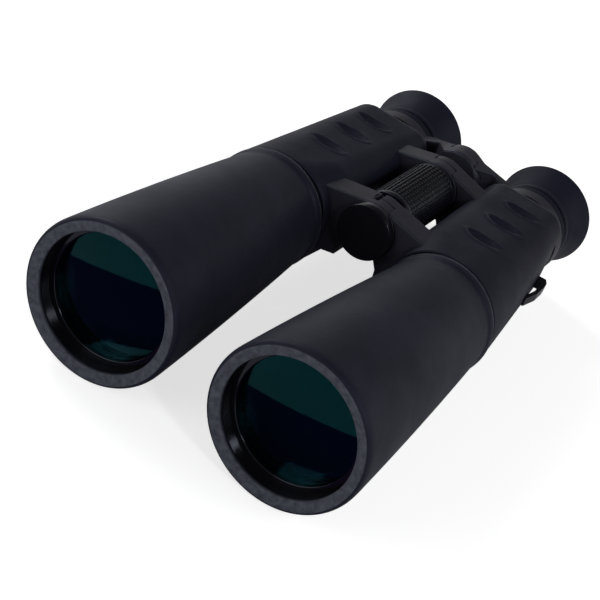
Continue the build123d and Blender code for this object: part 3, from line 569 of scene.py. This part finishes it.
class BINO_OT_finish_cad_nodes(PieceOperator, bpy.types.Operator):
    """Give every carried-over solid its own finish"""

    bl_idname = "bino.finish_cad_nodes"
    bl_label = "Finish the solids"

    def execute(self, context):
        finish = self.finish
        by_name = {
            "barrel_tube": bore_black(finish),
            "objective_cell": ring_black(finish),
            "objective_retainer": ring_black(finish),
            "objective_crown": glass("Coated front glass", finish.coating, (0.1, 0.12, 0.14)),
            "objective_flint": glass("Second glass", (0.03, 0.012, 0.05)),
            "front_prism": glass("Prism glass", (0.1, 0.08, 0.14)),
            "roof_prism": glass("Prism glass", (0.1, 0.08, 0.14)),
            "field_lens": glass("Field glass", (0.2, 0.3, 0.4)),
            "eye_lens": glass("Eye glass", (0.45, 0.3, 0.6)),
            "prism_cage": matt_black(finish),
            "prism_housing": satin_casting(finish),
            "rear_plate_screws": metal("Screw steel", (0.4, 0.4, 0.41), 0.3, 900),
            "rear_plate": satin_casting(finish),
            "bridge_arm": satin_casting(finish),
            "bridge_cap": gloss_black(finish),
            "hinge_cap": gloss_black(finish),
            "eyepiece_tube": ring_black(finish),
            "eyepiece_collar": cup_rubber(finish),
            "dioptre_ring": cup_rubber(finish),
            "strap_lug": gloss_black(finish),
            "focus_core": black_plastic(finish),
            "focus_grip": drum_rubber(finish),
            "focus_spindle": metal("Spindle steel", (0.5, 0.5, 0.51), 0.25, 1200),
            "drive_pin": metal("Spindle steel", (0.5, 0.5, 0.51), 0.25, 1200),
            "hinge_tube": metal("Spindle steel", (0.5, 0.5, 0.51), 0.25, 1200),
            "hinge_nut": metal("Screw steel", (0.4, 0.4, 0.41), 0.3, 900),
            "hinge_washers": metal("Turned brass", (0.6, 0.43, 0.17), 0.3, 1500),
            "tripod_bush": metal("Turned brass", (0.6, 0.43, 0.17), 0.3, 1500),
            "barrel_armour": armour_rubber(finish),
            "housing_skin": housing_rubber(finish),
            "eyecup": cup_rubber(finish),
        }
        for node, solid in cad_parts.items():
            starts = [name for name in by_name if node.startswith(name)]
            if not starts:
                raise RuntimeError(f"no finish for {node}")
            solid.data.materials.clear()
            solid.data.materials.append(by_name[max(starts, key=len)])
        return {"FINISHED"}


def barrel_radius(station, rim):
    """Outer radius of the barrel's long taper in mm, with its slight swell."""
    share = (station - RIM_END) / TAPER_LENGTH
    return rim + share * (TAPER_END_RADIUS - rim) + TAPER_SWELL * share * (1 - share)


class BINO_OT_add_barrel_covers(PieceOperator, bpy.types.Operator):
    """Model the rubber covers of both barrels, with a rounded rim and a raised band at the seam"""

    bl_idname = "bino.add_barrel_covers"
    bl_label = "Barrel covers"

    def shoulder(self, start, bend, end, steps=10):
        """Points of the rounded shoulder between the flat of the rim and the barrel."""
        start, bend, end = Vector(start), Vector(bend), Vector(end)
        points = []
        for step in range(steps + 1):
            share = step / steps
            points.append(tuple(start.lerp(bend, share).lerp(bend.lerp(end, share), share)))
        return points

    def execute(self, context):
        rim = self.sizes.rim_radius / MM
        crease = (rim - RIM_SHOULDER, 0.0)
        lip_rear, wall = 3.0, 2.2
        profile = [(BARREL_FOOT_RADIUS, BARREL_END), (BARREL_FOOT_RADIUS, RIM_END + TAPER_LENGTH)]
        profile += [(barrel_radius(lip_rear, rim) - wall, lip_rear), (BORE_RADIUS, lip_rear)]
        profile += rounded((BORE_RADIUS, lip_rear), (BORE_RADIUS, 1.1), crease, 0.4, 5)
        profile += self.shoulder(crease, (rim - 0.05, 0.2), (rim, 3.2))
        stations = [5.0, 6.5, 8.5] + [12.0 + 4.0 * step for step in range(29)] + [127.0, 129.5]
        profile += [(barrel_radius(station, rim), station) for station in stations]
        band_start = (BAND_RADIUS, 134.0)
        profile += smooth_run([(TAPER_END_RADIUS, 130.8), (28.25, 132.0), (28.6, 133.0), band_start], 4)
        profile += rounded(band_start, (BAND_RADIUS, BARREL_END), (BARREL_FOOT_RADIUS, BARREL_END), 0.7, 6)
        profile += [(BARREL_FOOT_RADIUS, BARREL_END)]
        for name, side in SIDES:
            cover = turned(f"barrel_cover_{name}", side * OBJECTIVE_X, OBJECTIVE_Z, profile, 192)
            settle(cover, f"{name}_half", "rubber_armour", armour_rubber(self.finish), f"barrel_armour_{name}")
        return {"FINISHED"}


class BINO_OT_add_housing_covers(PieceOperator, bpy.types.Operator):
    """Model the rubber covers of both prism housings, with three finger hollows on top of each"""

    bl_idname = "bino.add_housing_covers"
    bl_label = "Housing covers"
    sections = (
        # station, centre X, width, height, corner radius, radius of the top edge beside the hinge
        (HOUSING_START, 47.0, 56.6, 56.6, 27.8, 24.0),
        (158.0, 45.48, 54.04, 54.88, 24.24, 15.0),
        (HOUSING_END, 39.4, 43.8, 48.0, 10.0, 10.0),
    )
    # The hollows' stations, their middle in X, and their half width and half lengths in front and behind
    hollows = (172.5, 197.0, 220.0)
    hollow_x = 43.5
    hollow_reach = (9.0, 5.2, 3.2)
    lip_height = 0.28
    top_from = 12.0  # hollows are sunk only above this height over the axis

    def outline(self, width, height, corner, ridge):
        """Points round a rounded rectangle, with the hinge side at negative X."""
        half_x, half_z = width / 2, height / 2
        corners = ((-1, 1, ridge, 180), (1, 1, corner, 90), (1, -1, corner, 0), (-1, -1, corner, -90))
        steps = (52, 12, 12, 12)
        arc_steps = 14
        arcs = []
        for side_x, side_z, radius, start in corners:
            centre = Vector((side_x * (half_x - radius), side_z * (half_z - radius)))
            turns = [math.radians(start - 90 * step / arc_steps) for step in range(arc_steps + 1)]
            arcs.append([centre + radius * Vector((math.cos(turn), math.sin(turn))) for turn in turns])
        points = []
        for index, arc in enumerate(arcs):
            points += arc
            following = arcs[(index + 1) % 4][0]
            for step in range(1, steps[index]):
                points.append(arc[-1].lerp(following, step / steps[index]))
        return points

    def ring(self, station):
        """Points of one ring in mm, drawn in a little at both ends of the cover."""
        first = 0 if station < self.sections[1][0] else 1
        before, after = self.sections[first], self.sections[first + 1]
        share = (station - before[0]) / (after[0] - before[0])
        inset = 0.0
        for edge, reach in ((station - HOUSING_START, 0.9), (HOUSING_END - station, 1.6)):
            if edge < reach:
                inset += reach - math.sqrt(max(reach**2 - (reach - edge) ** 2, 0.0))
        ends = []
        for section in (before, after):
            _, centre_x, width, height, corner, ridge = section
            points = self.outline(width - 2 * inset, height - 2 * inset, corner - inset, ridge - inset)
            ends.append([point + Vector((centre_x, 0)) for point in points])
        return [a.lerp(b, share) for a, b in zip(*ends)]

    def sink(self, x, station):
        """How far the top lies below its plain form in mm: steep at the rear of a hollow, with a low lip in front."""
        depth = 0.0
        half_width, in_front, behind = self.hollow_reach
        for hollow in self.hollows:
            along = station - hollow
            along /= behind if along > 0 else in_front
            reach = math.hypot((x - self.hollow_x) / half_width, along)
            if reach < 1:
                depth += self.sizes.hollow_depth / MM * (1 - reach**2) ** 0.8
            lip = math.exp(-(((reach - 1.12) / 0.13) ** 2))
            depth -= self.lip_height * lip * (0.35 if along > 0 else 1.0)
        return depth

    def execute(self, context):
        stations = [HOUSING_START, 138.1, 138.3, 138.6, 139.0] + [139.8 + 0.86 * step for step in range(113)]
        stations += [236.9, 237.3, 237.6, 237.85, HOUSING_END]
        for name, side in SIDES:
            rings = [self.ring(station) for station in stations]
            deselect()
            bpy.ops.mesh.primitive_circle_add(
                vertices=len(rings[0]), radius=28.3 * MM, fill_type="NOTHING",
                location=(side * OBJECTIVE_X, station_y(HOUSING_START), OBJECTIVE_Z), rotation=(math.pi / 2, 0, 0))
            bpy.ops.object.transform_apply(location=True, rotation=True, scale=True)
            bpy.ops.object.mode_set(mode="EDIT")
            bpy.ops.mesh.select_all(action="SELECT")
            for before, after in zip(stations, stations[1:]):
                bpy.ops.mesh.extrude_region_move(TRANSFORM_OT_translate={"value": (0, (after - before) * MM, 0)})
            bpy.ops.object.mode_set(mode="OBJECT")
            cover = named(f"housing_cover_{name}")
            # The form goes from round to square, which resizing can't give, so each ring's points are set in turn
            spots = []
            for station, ring in zip(stations, rings):
                for x, z in ring:
                    drop = self.sink(x, station) if z > self.top_from else 0.0
                    spots += [side * x * MM, station_y(station), OBJECTIVE_Z + (z - drop) * MM]
            cover.data.vertices.foreach_set("co", spots)
            cover.data.update()
            bpy.ops.object.mode_set(mode="EDIT")
            bpy.ops.mesh.select_all(action="SELECT")
            bpy.ops.mesh.normals_make_consistent(inside=False)
            bpy.ops.object.mode_set(mode="OBJECT")
            wall = cover.modifiers.new("Wall", "SOLIDIFY")
            wall.thickness = 1.9 * MM
            wall.offset = -1.0
            bpy.ops.object.modifier_apply(modifier=wall.name)
            bpy.ops.object.shade_smooth_by_angle(angle=math.radians(42))
            settle(cover, f"{name}_half", "rubber_armour", housing_rubber(self.finish), f"housing_skin_{name}")
        return {"FINISHED"}


class BINO_OT_add_focus_grip(PieceOperator, bpy.types.Operator):
    """Model the focus drum's grip: a plain band in front, then rows of pips"""

    bl_idname = "bino.add_focus_grip"
    bl_label = "Focus grip"

    def execute(self, context):
        outer = self.sizes.drum_radius / MM
        low, inner = outer - 0.6, outer - 2.0
        start, end = (GRIP_LOW.y - FRONT_Y) / MM, (GRIP_HIGH.y - FRONT_Y) / MM
        band_end = start + 3.0
        profile = [(inner, end), (inner, start)]
        profile += rounded((inner, start), (outer, start), (outer, band_end), 0.6, 5)
        profile += rounded((outer, start), (outer, band_end), (low, band_end), 0.25, 3)
        profile += [(low, band_end), (low, end - 1.8)]
        profile += rounded((low, end - 1.8), (outer - 0.1, end - 1.8), (outer - 0.1, end), 0.25, 3)
        profile += rounded((outer - 0.1, end - 1.8), (outer - 0.1, end), (inner, end), 0.6, 5)
        profile += [(inner, end)]
        grip = turned("focus_grip_cover", 0.0, HINGE_Z, profile, 160)
        pips = self.pips(low, band_end, end)
        deselect()
        pips.select_set(True)
        grip.select_set(True)
        bpy.context.view_layer.objects.active = grip
        bpy.ops.object.join()
        bpy.ops.object.shade_smooth_by_angle(angle=math.radians(35))
        settle(grip, "focus_wheel", "grip_rubber", drum_rubber(self.finish), "focus_grip")
        return {"FINISHED"}

    def pips(self, low, band_end, end):
        """One small block is bevelled, repeated along the drum and then spun round it."""
        deselect()
        rows = self.sizes.pip_rows
        pitch = (end - 2.3 - band_end) / PIPS_ALONG
        width = 2 * math.pi * low / rows - 0.8
        centre = Vector((0, station_y(band_end + 0.25 + pitch / 2), HINGE_Z + (low + 0.1) * MM))
        bpy.ops.mesh.primitive_cube_add(size=1.0, location=centre)
        bpy.ops.transform.resize(value=(width * MM, (pitch - 0.35) * MM, 0.9 * MM), center_override=centre)
        bpy.ops.object.transform_apply(location=True, rotation=True, scale=True)
        piece = named("focus_pips")
        bpy.ops.object.mode_set(mode="EDIT")
        bpy.ops.mesh.select_all(action="DESELECT")
        bpy.ops.object.mode_set(mode="OBJECT")
        for face in piece.data.polygons:
            face.select = face.normal.z > 0.5
        bpy.ops.object.mode_set(mode="EDIT")
        bpy.ops.mesh.select_mode(type="FACE")
        bpy.ops.mesh.bevel(offset=0.2 * MM, segments=2, affect="EDGES")
        bpy.ops.object.mode_set(mode="OBJECT")
        line = piece.modifiers.new("Line", "ARRAY")
        line.count = PIPS_ALONG
        line.use_relative_offset = False
        line.use_constant_offset = True
        line.constant_offset_displace = (0, pitch * MM, 0)
        bpy.ops.object.modifier_apply(modifier=line.name)
        bpy.ops.object.mode_set(mode="EDIT")
        bpy.ops.mesh.select_mode(type="VERT")
        bpy.ops.mesh.select_all(action="SELECT")
        bpy.ops.mesh.spin(
            steps=rows - 1, dupli=True, angle=2 * math.pi * (rows - 1) / rows,
            center=(0, 0, HINGE_Z), axis=(0, 1, 0))
        bpy.ops.object.mode_set(mode="OBJECT")
        return piece


class BINO_OT_add_front_lenses(PieceOperator, bpy.types.Operator):
    """Model both cemented front lenses, each as one smooth piece of coated glass, and the rings in front of them"""

    bl_idname = "bino.add_front_lenses"
    bl_label = "Front lenses"

    def execute(self, context):
        radius, rear = 27.95, 22.35
        curve = 320.0
        vertex = 9.47
        centre = vertex + curve
        profile = [(AXIS_RADIUS, centre - curve)]
        steps = 28
        for step in range(1, steps + 1):
            reach = radius * step / steps
            profile.append((reach, centre - math.sqrt(curve**2 - reach**2)))
        profile += [(radius, rear), (AXIS_RADIUS, rear)]
        inner, outer = 28.05, 30.55
        front, back = 8.5, 12.0
        ring_profile = [(inner, back), (inner, 10.0)]
        ring_profile += rounded((inner, 10.0), (inner, front), (outer, front), 0.4, 6)
        ring_profile += [(outer, front), (outer, back), (inner, back)]
        coated = glass("Coated front glass", self.finish.coating, (0.1, 0.12, 0.14))
        for name, side in SIDES:
            lens = turned(f"front_lens_{name}", side * OBJECTIVE_X, OBJECTIVE_Z, profile, 128)
            settle(lens, f"{name}_half", "coated_glass", coated, f"objective_crown_{name}", f"objective_flint_{name}")
            ring = turned(f"retainer_ring_{name}", side * OBJECTIVE_X, OBJECTIVE_Z, ring_profile, 160)
            settle(ring, f"{name}_half", "dark_metal", ring_black(self.finish), f"objective_retainer_{name}")
        return {"FINISHED"}


class BINO_OT_add_hinge_cap(PieceOperator, bpy.types.Operator):
    """Model the round cap in front of the hinge, with a flat bare face and a polished edge"""

    bl_idname = "bino.add_hinge_cap"
    bl_label = "Hinge cap"

    def execute(self, context):
        outer = self.sizes.cap_radius / MM
        front, rear = (CAP_LOW.y - FRONT_Y) / MM, (CAP_HIGH.y - FRONT_Y) / MM
        inner, wall = outer - 1.8, 2.2
        profile = [(AXIS_RADIUS, front + 0.12), (6.0, front + 0.1), (11.0, front + 0.03)]
        profile += rounded((11.0, front), (outer, front), (outer, rear), 0.45, 6)
        profile += rounded((outer, front), (outer, rear), (inner, rear), 0.3, 3)
        profile += [(inner, rear), (inner, front + wall), (AXIS_RADIUS, front + wall)]
        cap = turned("hinge_cap_cover", 0.0, HINGE_Z, profile, 128)
        settle(cap, "cap", "gloss_plastic", gloss_black(self.finish), "hinge_cap")
        return {"FINISHED"}


class BINO_OT_add_eyecups(PieceOperator, bpy.types.Operator):
    """Model the flared rubber eyecups with a bead at the foot and a rolled lip"""

    bl_idname = "bino.add_eyecups"
    bl_label = "Eyecups"

    def execute(self, context):
        flare = self.sizes.cup_radius / MM
        foot, start = 20.3, 262.4
        profile = [(EYEPIECE_BORE, start)]
        profile += rounded((EYEPIECE_BORE, start), (foot, start), (foot, 266.0), 0.7, 5)
        profile += smooth_run([(foot, 263.6), (foot, 265.0), (20.0, 265.8), (20.05, 266.6), (20.6, 268.2),
                               (21.4, 271.0), (22.5, 274.0), (23.7, 277.2), (24.7, 279.8), (flare, 281.2)], 5)
        profile += smooth_run([(flare, 281.2), (flare - 0.1, 282.1), (flare - 0.6, 282.75), (flare - 1.3, 283.0),
                               (flare - 2.0, 282.8), (flare - 2.4, 282.2)], 3)[1:]
        profile += smooth_run([(flare - 2.4, 282.2), (21.5, 279.0), (20.2, 275.6), (19.2, 272.6), (17.0, 270.2),
                               (13.4, 269.05)], 4)[1:]
        profile += [(11.2, 269.05), (11.2, 267.05), (EYEPIECE_BORE, 267.05), (EYEPIECE_BORE, start)]
        for name, side in SIDES:
            cup = turned(f"eyecup_cover_{name}", side * EYEPIECE_X, EYEPIECE_Z, profile, 144)
            body = "left_ocular" if side < 0 else "right_eyepiece"
            settle(cup, body, "rubber_armour", cup_rubber(self.finish), f"eyecup_{name}")
        return {"FINISHED"}


class BINO_OT_add_eyepiece_rings(PieceOperator, bpy.types.Operator):
    """Model the ring in front of each eyecup, with three low beads"""

    bl_idname = "bino.add_eyepiece_rings"
    bl_label = "Eyepiece rings"

    def execute(self, context):
        rings = (
            ("eyepiece_ring_left", "eyepiece_collar_left", -1, "left_ocular"),
            ("dioptre_grip_right", "dioptre_ring_right", 1, "dioptre_ring"),
        )
        for name, node, side, body in rings:
            low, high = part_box(node)
            outer = (high.x - low.x) / 2 / MM
            start, end = (low.y - FRONT_Y) / MM, (high.y - FRONT_Y) / MM
            profile = [(EYEPIECE_BORE, start)]
            profile += rounded((EYEPIECE_BORE, start), (outer, start), (outer, start + 1.6), 0.4, 4)
            for bead in (1, 2):
                groove = start + (end - start) * bead / 3
                profile += smooth_run([(outer, groove - 0.55), (outer - 0.15, groove - 0.35), (outer - 0.5, groove),
                                       (outer - 0.15, groove + 0.35), (outer, groove + 0.55)], 3)
            profile += rounded((outer, end - 1.6), (outer, end), (EYEPIECE_BORE, end), 0.4, 4)
            profile += [(EYEPIECE_BORE, end), (EYEPIECE_BORE, start)]
            ring = turned(name, side * EYEPIECE_X, EYEPIECE_Z, profile, 144)
            settle(ring, body, "black_plastic", cup_rubber(self.finish), node)
        return {"FINISHED"}


class BINO_OT_set_stage(PieceOperator, bpy.types.Operator):
    """Make the floor, the lights and the camera"""

    bl_idname = "bino.set_stage"
    bl_label = "Set the stage"

    def execute(self, context):
        finish = self.finish
        deselect()
        bpy.ops.mesh.primitive_plane_add(size=6.0, location=(0, 0, -0.0002))
        bpy.ops.object.transform_apply(location=True, rotation=True, scale=True)
        floor = named("Floor")
        floor.data.materials.append(self.floor_paper(finish))
        # Dark cards that are seen only in reflections: a painted reflection, dark in the lower part of the front
        # lenses
        self.reflection_card("Left reflection card", (-140.0, -29.4), (-45.0, -95.0))
        self.reflection_card("Right reflection card", (-25.0, -32.0), (85.0, -71.7))
        self.sky()
        self.lamp("Left light", (-1.3, 0.45, 0.95), 0.8, finish.key_power * 2)
        self.lamp("Right light", (1.3, 0.2, 0.95), 0.7, finish.key_power)
        self.lamp("Front light", (-0.75, -1.2, 0.5), 0.9, finish.key_power)
        self.lamp("Small light", (0.95, -0.75, 0.8), 0.2, finish.key_power * 0.6)
        self.camera()
        scene = context.scene
        scene.view_settings.view_transform = "Standard"
        return {"FINISHED"}

    def floor_paper(self, finish):
        """White paper that keeps the shadow and reads as white where light falls on it."""
        material = bpy.data.materials.new("Floor paper")
        shader = shader_of(material)
        nodes, links = material.node_tree.nodes, material.node_tree.links
        shader.inputs["Base Color"].default_value = (*finish.floor, 1)
        shader.inputs["Roughness"].default_value = 0.9
        shader.inputs["Specular IOR Level"].default_value = 0.1
        seen = nodes.new("ShaderNodeLightPath")
        lift = math_node(nodes, "MULTIPLY", 0.7)
        links.new(seen.outputs["Is Camera Ray"], lift.inputs[0])
        shader.inputs["Emission Color"].default_value = (1, 1, 1, 1)
        links.new(lift.outputs["Value"], shader.inputs["Emission Strength"])
        return material

    def painted_reflection_paper(self):
        """Dark colour of the cards, which paints a dark reflection in the lower part of the lenses."""
        name = "Dark card"
        if name in bpy.data.materials:
            return bpy.data.materials[name]
        material = bpy.data.materials.new(name)
        shader = shader_of(material)
        shader.inputs["Base Color"].default_value = (0.16, 0.08, 0.24, 1)
        shader.inputs["Roughness"].default_value = 1.0
        shader.inputs["Specular IOR Level"].default_value = 0.0
        return material

    def reflection_card(self, name, first, last):
        """A dark card on the floor in front of a rim, whose far edge runs between two points given in mm.

        It is hidden from the camera, from diffuse light and from shadows, so it shows only as a painted reflection,
        dark in the lower part of the lens.
        """
        first, last = Vector(first) * MM, Vector(last) * MM
        run = last - first
        depth = 70.0 * MM
        middle = (first + last) / 2 + Vector((-run.y, run.x)).normalized() * depth / 2
        place = (middle.x, FRONT_Y + middle.y, 0.4 * MM)
        deselect()
        bpy.ops.mesh.primitive_plane_add(size=1.0, location=place)
        bpy.ops.transform.resize(value=(run.length, depth, 1), center_override=place)
        bpy.ops.transform.rotate(value=-math.atan2(run.y, run.x), orient_axis="Z", center_override=place)
        bpy.ops.object.transform_apply(location=True, rotation=True, scale=True)
        card = named(name)
        card.data.materials.append(self.painted_reflection_paper())
        card.visible_camera = False
        card.visible_diffuse = False
        card.visible_shadow = False

    def sky(self):
        """Soft light that is bright near the horizon and dim overhead. It is plain white where it is seen."""
        world = bpy.data.worlds.new("Studio")
        bpy.context.scene.world = world
        world.use_nodes = True
        nodes, links = world.node_tree.nodes, world.node_tree.links
        ground = nodes["Background"]
        place = nodes.new("ShaderNodeTexCoord")
        split = nodes.new("ShaderNodeSeparateXYZ")
        fade = map_range(nodes, 0.0, 0.42, 0.8, 0.06)
        seen = nodes.new("ShaderNodeLightPath")
        level = nodes.new("ShaderNodeMix")
        level.data_type = "FLOAT"
        level.inputs["B"].default_value = 1.0
        links.new(place.outputs["Generated"], split.inputs["Vector"])
        links.new(split.outputs["Z"], fade.inputs["Value"])
        links.new(fade.outputs["Result"], level.inputs["A"])
        links.new(seen.outputs["Is Camera Ray"], level.inputs["Factor"])
        links.new(level.outputs["Result"], ground.inputs["Strength"])
        ground.inputs["Color"].default_value = (1, 1, 1, 1)

    def lamp(self, name, place, size, power):
        """A soft square lamp that points at the middle of the part."""
        deselect()
        bpy.ops.object.light_add(type="AREA", location=place)
        lamp = bpy.context.active_object
        lamp.name = name
        lamp.data.size = size
        lamp.data.energy = power
        aim = Vector((0, 0, 0.04)) - Vector(place)
        lamp.rotation_euler = aim.to_track_quat("-Z", "Y").to_euler()

    def camera(self):
        """The camera at the photograph's place, rolled as the photograph is."""
        deselect()
        bpy.ops.object.camera_add(location=(0.231585, -0.736704, 0.471053))
        camera = bpy.context.active_object
        camera.name = "Camera"
        right = Vector((0.80786087, 0.48506136, 0.33477797))
        up = Vector((-0.52239825, 0.3263335, 0.78778583))
        back = Vector((0.2728752, -0.81130877, 0.51702727))
        camera.rotation_euler = Matrix((right, up, back)).transposed().to_euler()
        camera.data.lens = 115.96
        camera.data.sensor_width = 36.0
        bpy.context.scene.camera = camera


class BINO_PT_dressing(bpy.types.Panel):
    """Lists the pieces and their sizes and finishes"""

    bl_idname = "BINO_PT_dressing"
    bl_label = "Binoculars"
    bl_space_type = "VIEW_3D"
    bl_region_type = "UI"
    bl_category = "Binoculars"

    def draw(self, context):
        for operator in STEPS:
            self.layout.operator(operator.bl_idname)
        for group in (context.scene.binocular_sizes, context.scene.binocular_finish):
            for name in group.__annotations__:
                self.layout.prop(group, name)


STEPS = (
    BINO_OT_finish_cad_nodes,
    BINO_OT_add_barrel_covers,
    BINO_OT_add_housing_covers,
    BINO_OT_add_focus_grip,
    BINO_OT_add_front_lenses,
    BINO_OT_add_hinge_cap,
    BINO_OT_add_eyecups,
    BINO_OT_add_eyepiece_rings,
    BINO_OT_set_stage,
)
CLASSES = (BinocularSizes, BinocularFinish, *STEPS, BINO_PT_dressing)


def register():
    for cls in CLASSES:
        bpy.utils.register_class(cls)
    bpy.types.Scene.binocular_sizes = bpy.props.PointerProperty(type=BinocularSizes)
    bpy.types.Scene.binocular_finish = bpy.props.PointerProperty(type=BinocularFinish)


def unregister():
    del bpy.types.Scene.binocular_finish
    del bpy.types.Scene.binocular_sizes
    for cls in reversed(CLASSES):
        bpy.utils.unregister_class(cls)


def main():
    """Makes the pieces in order."""
    register()
    bpy.ops.bino.finish_cad_nodes()
    bpy.ops.bino.add_barrel_covers()
    bpy.ops.bino.add_housing_covers()
    bpy.ops.bino.add_focus_grip()
    bpy.ops.bino.add_front_lenses()
    bpy.ops.bino.add_hinge_cap()
    bpy.ops.bino.add_eyecups()
    bpy.ops.bino.add_eyepiece_rings()
    bpy.ops.bino.set_stage()
    deselect()


if __name__ == "__main__":
    main()
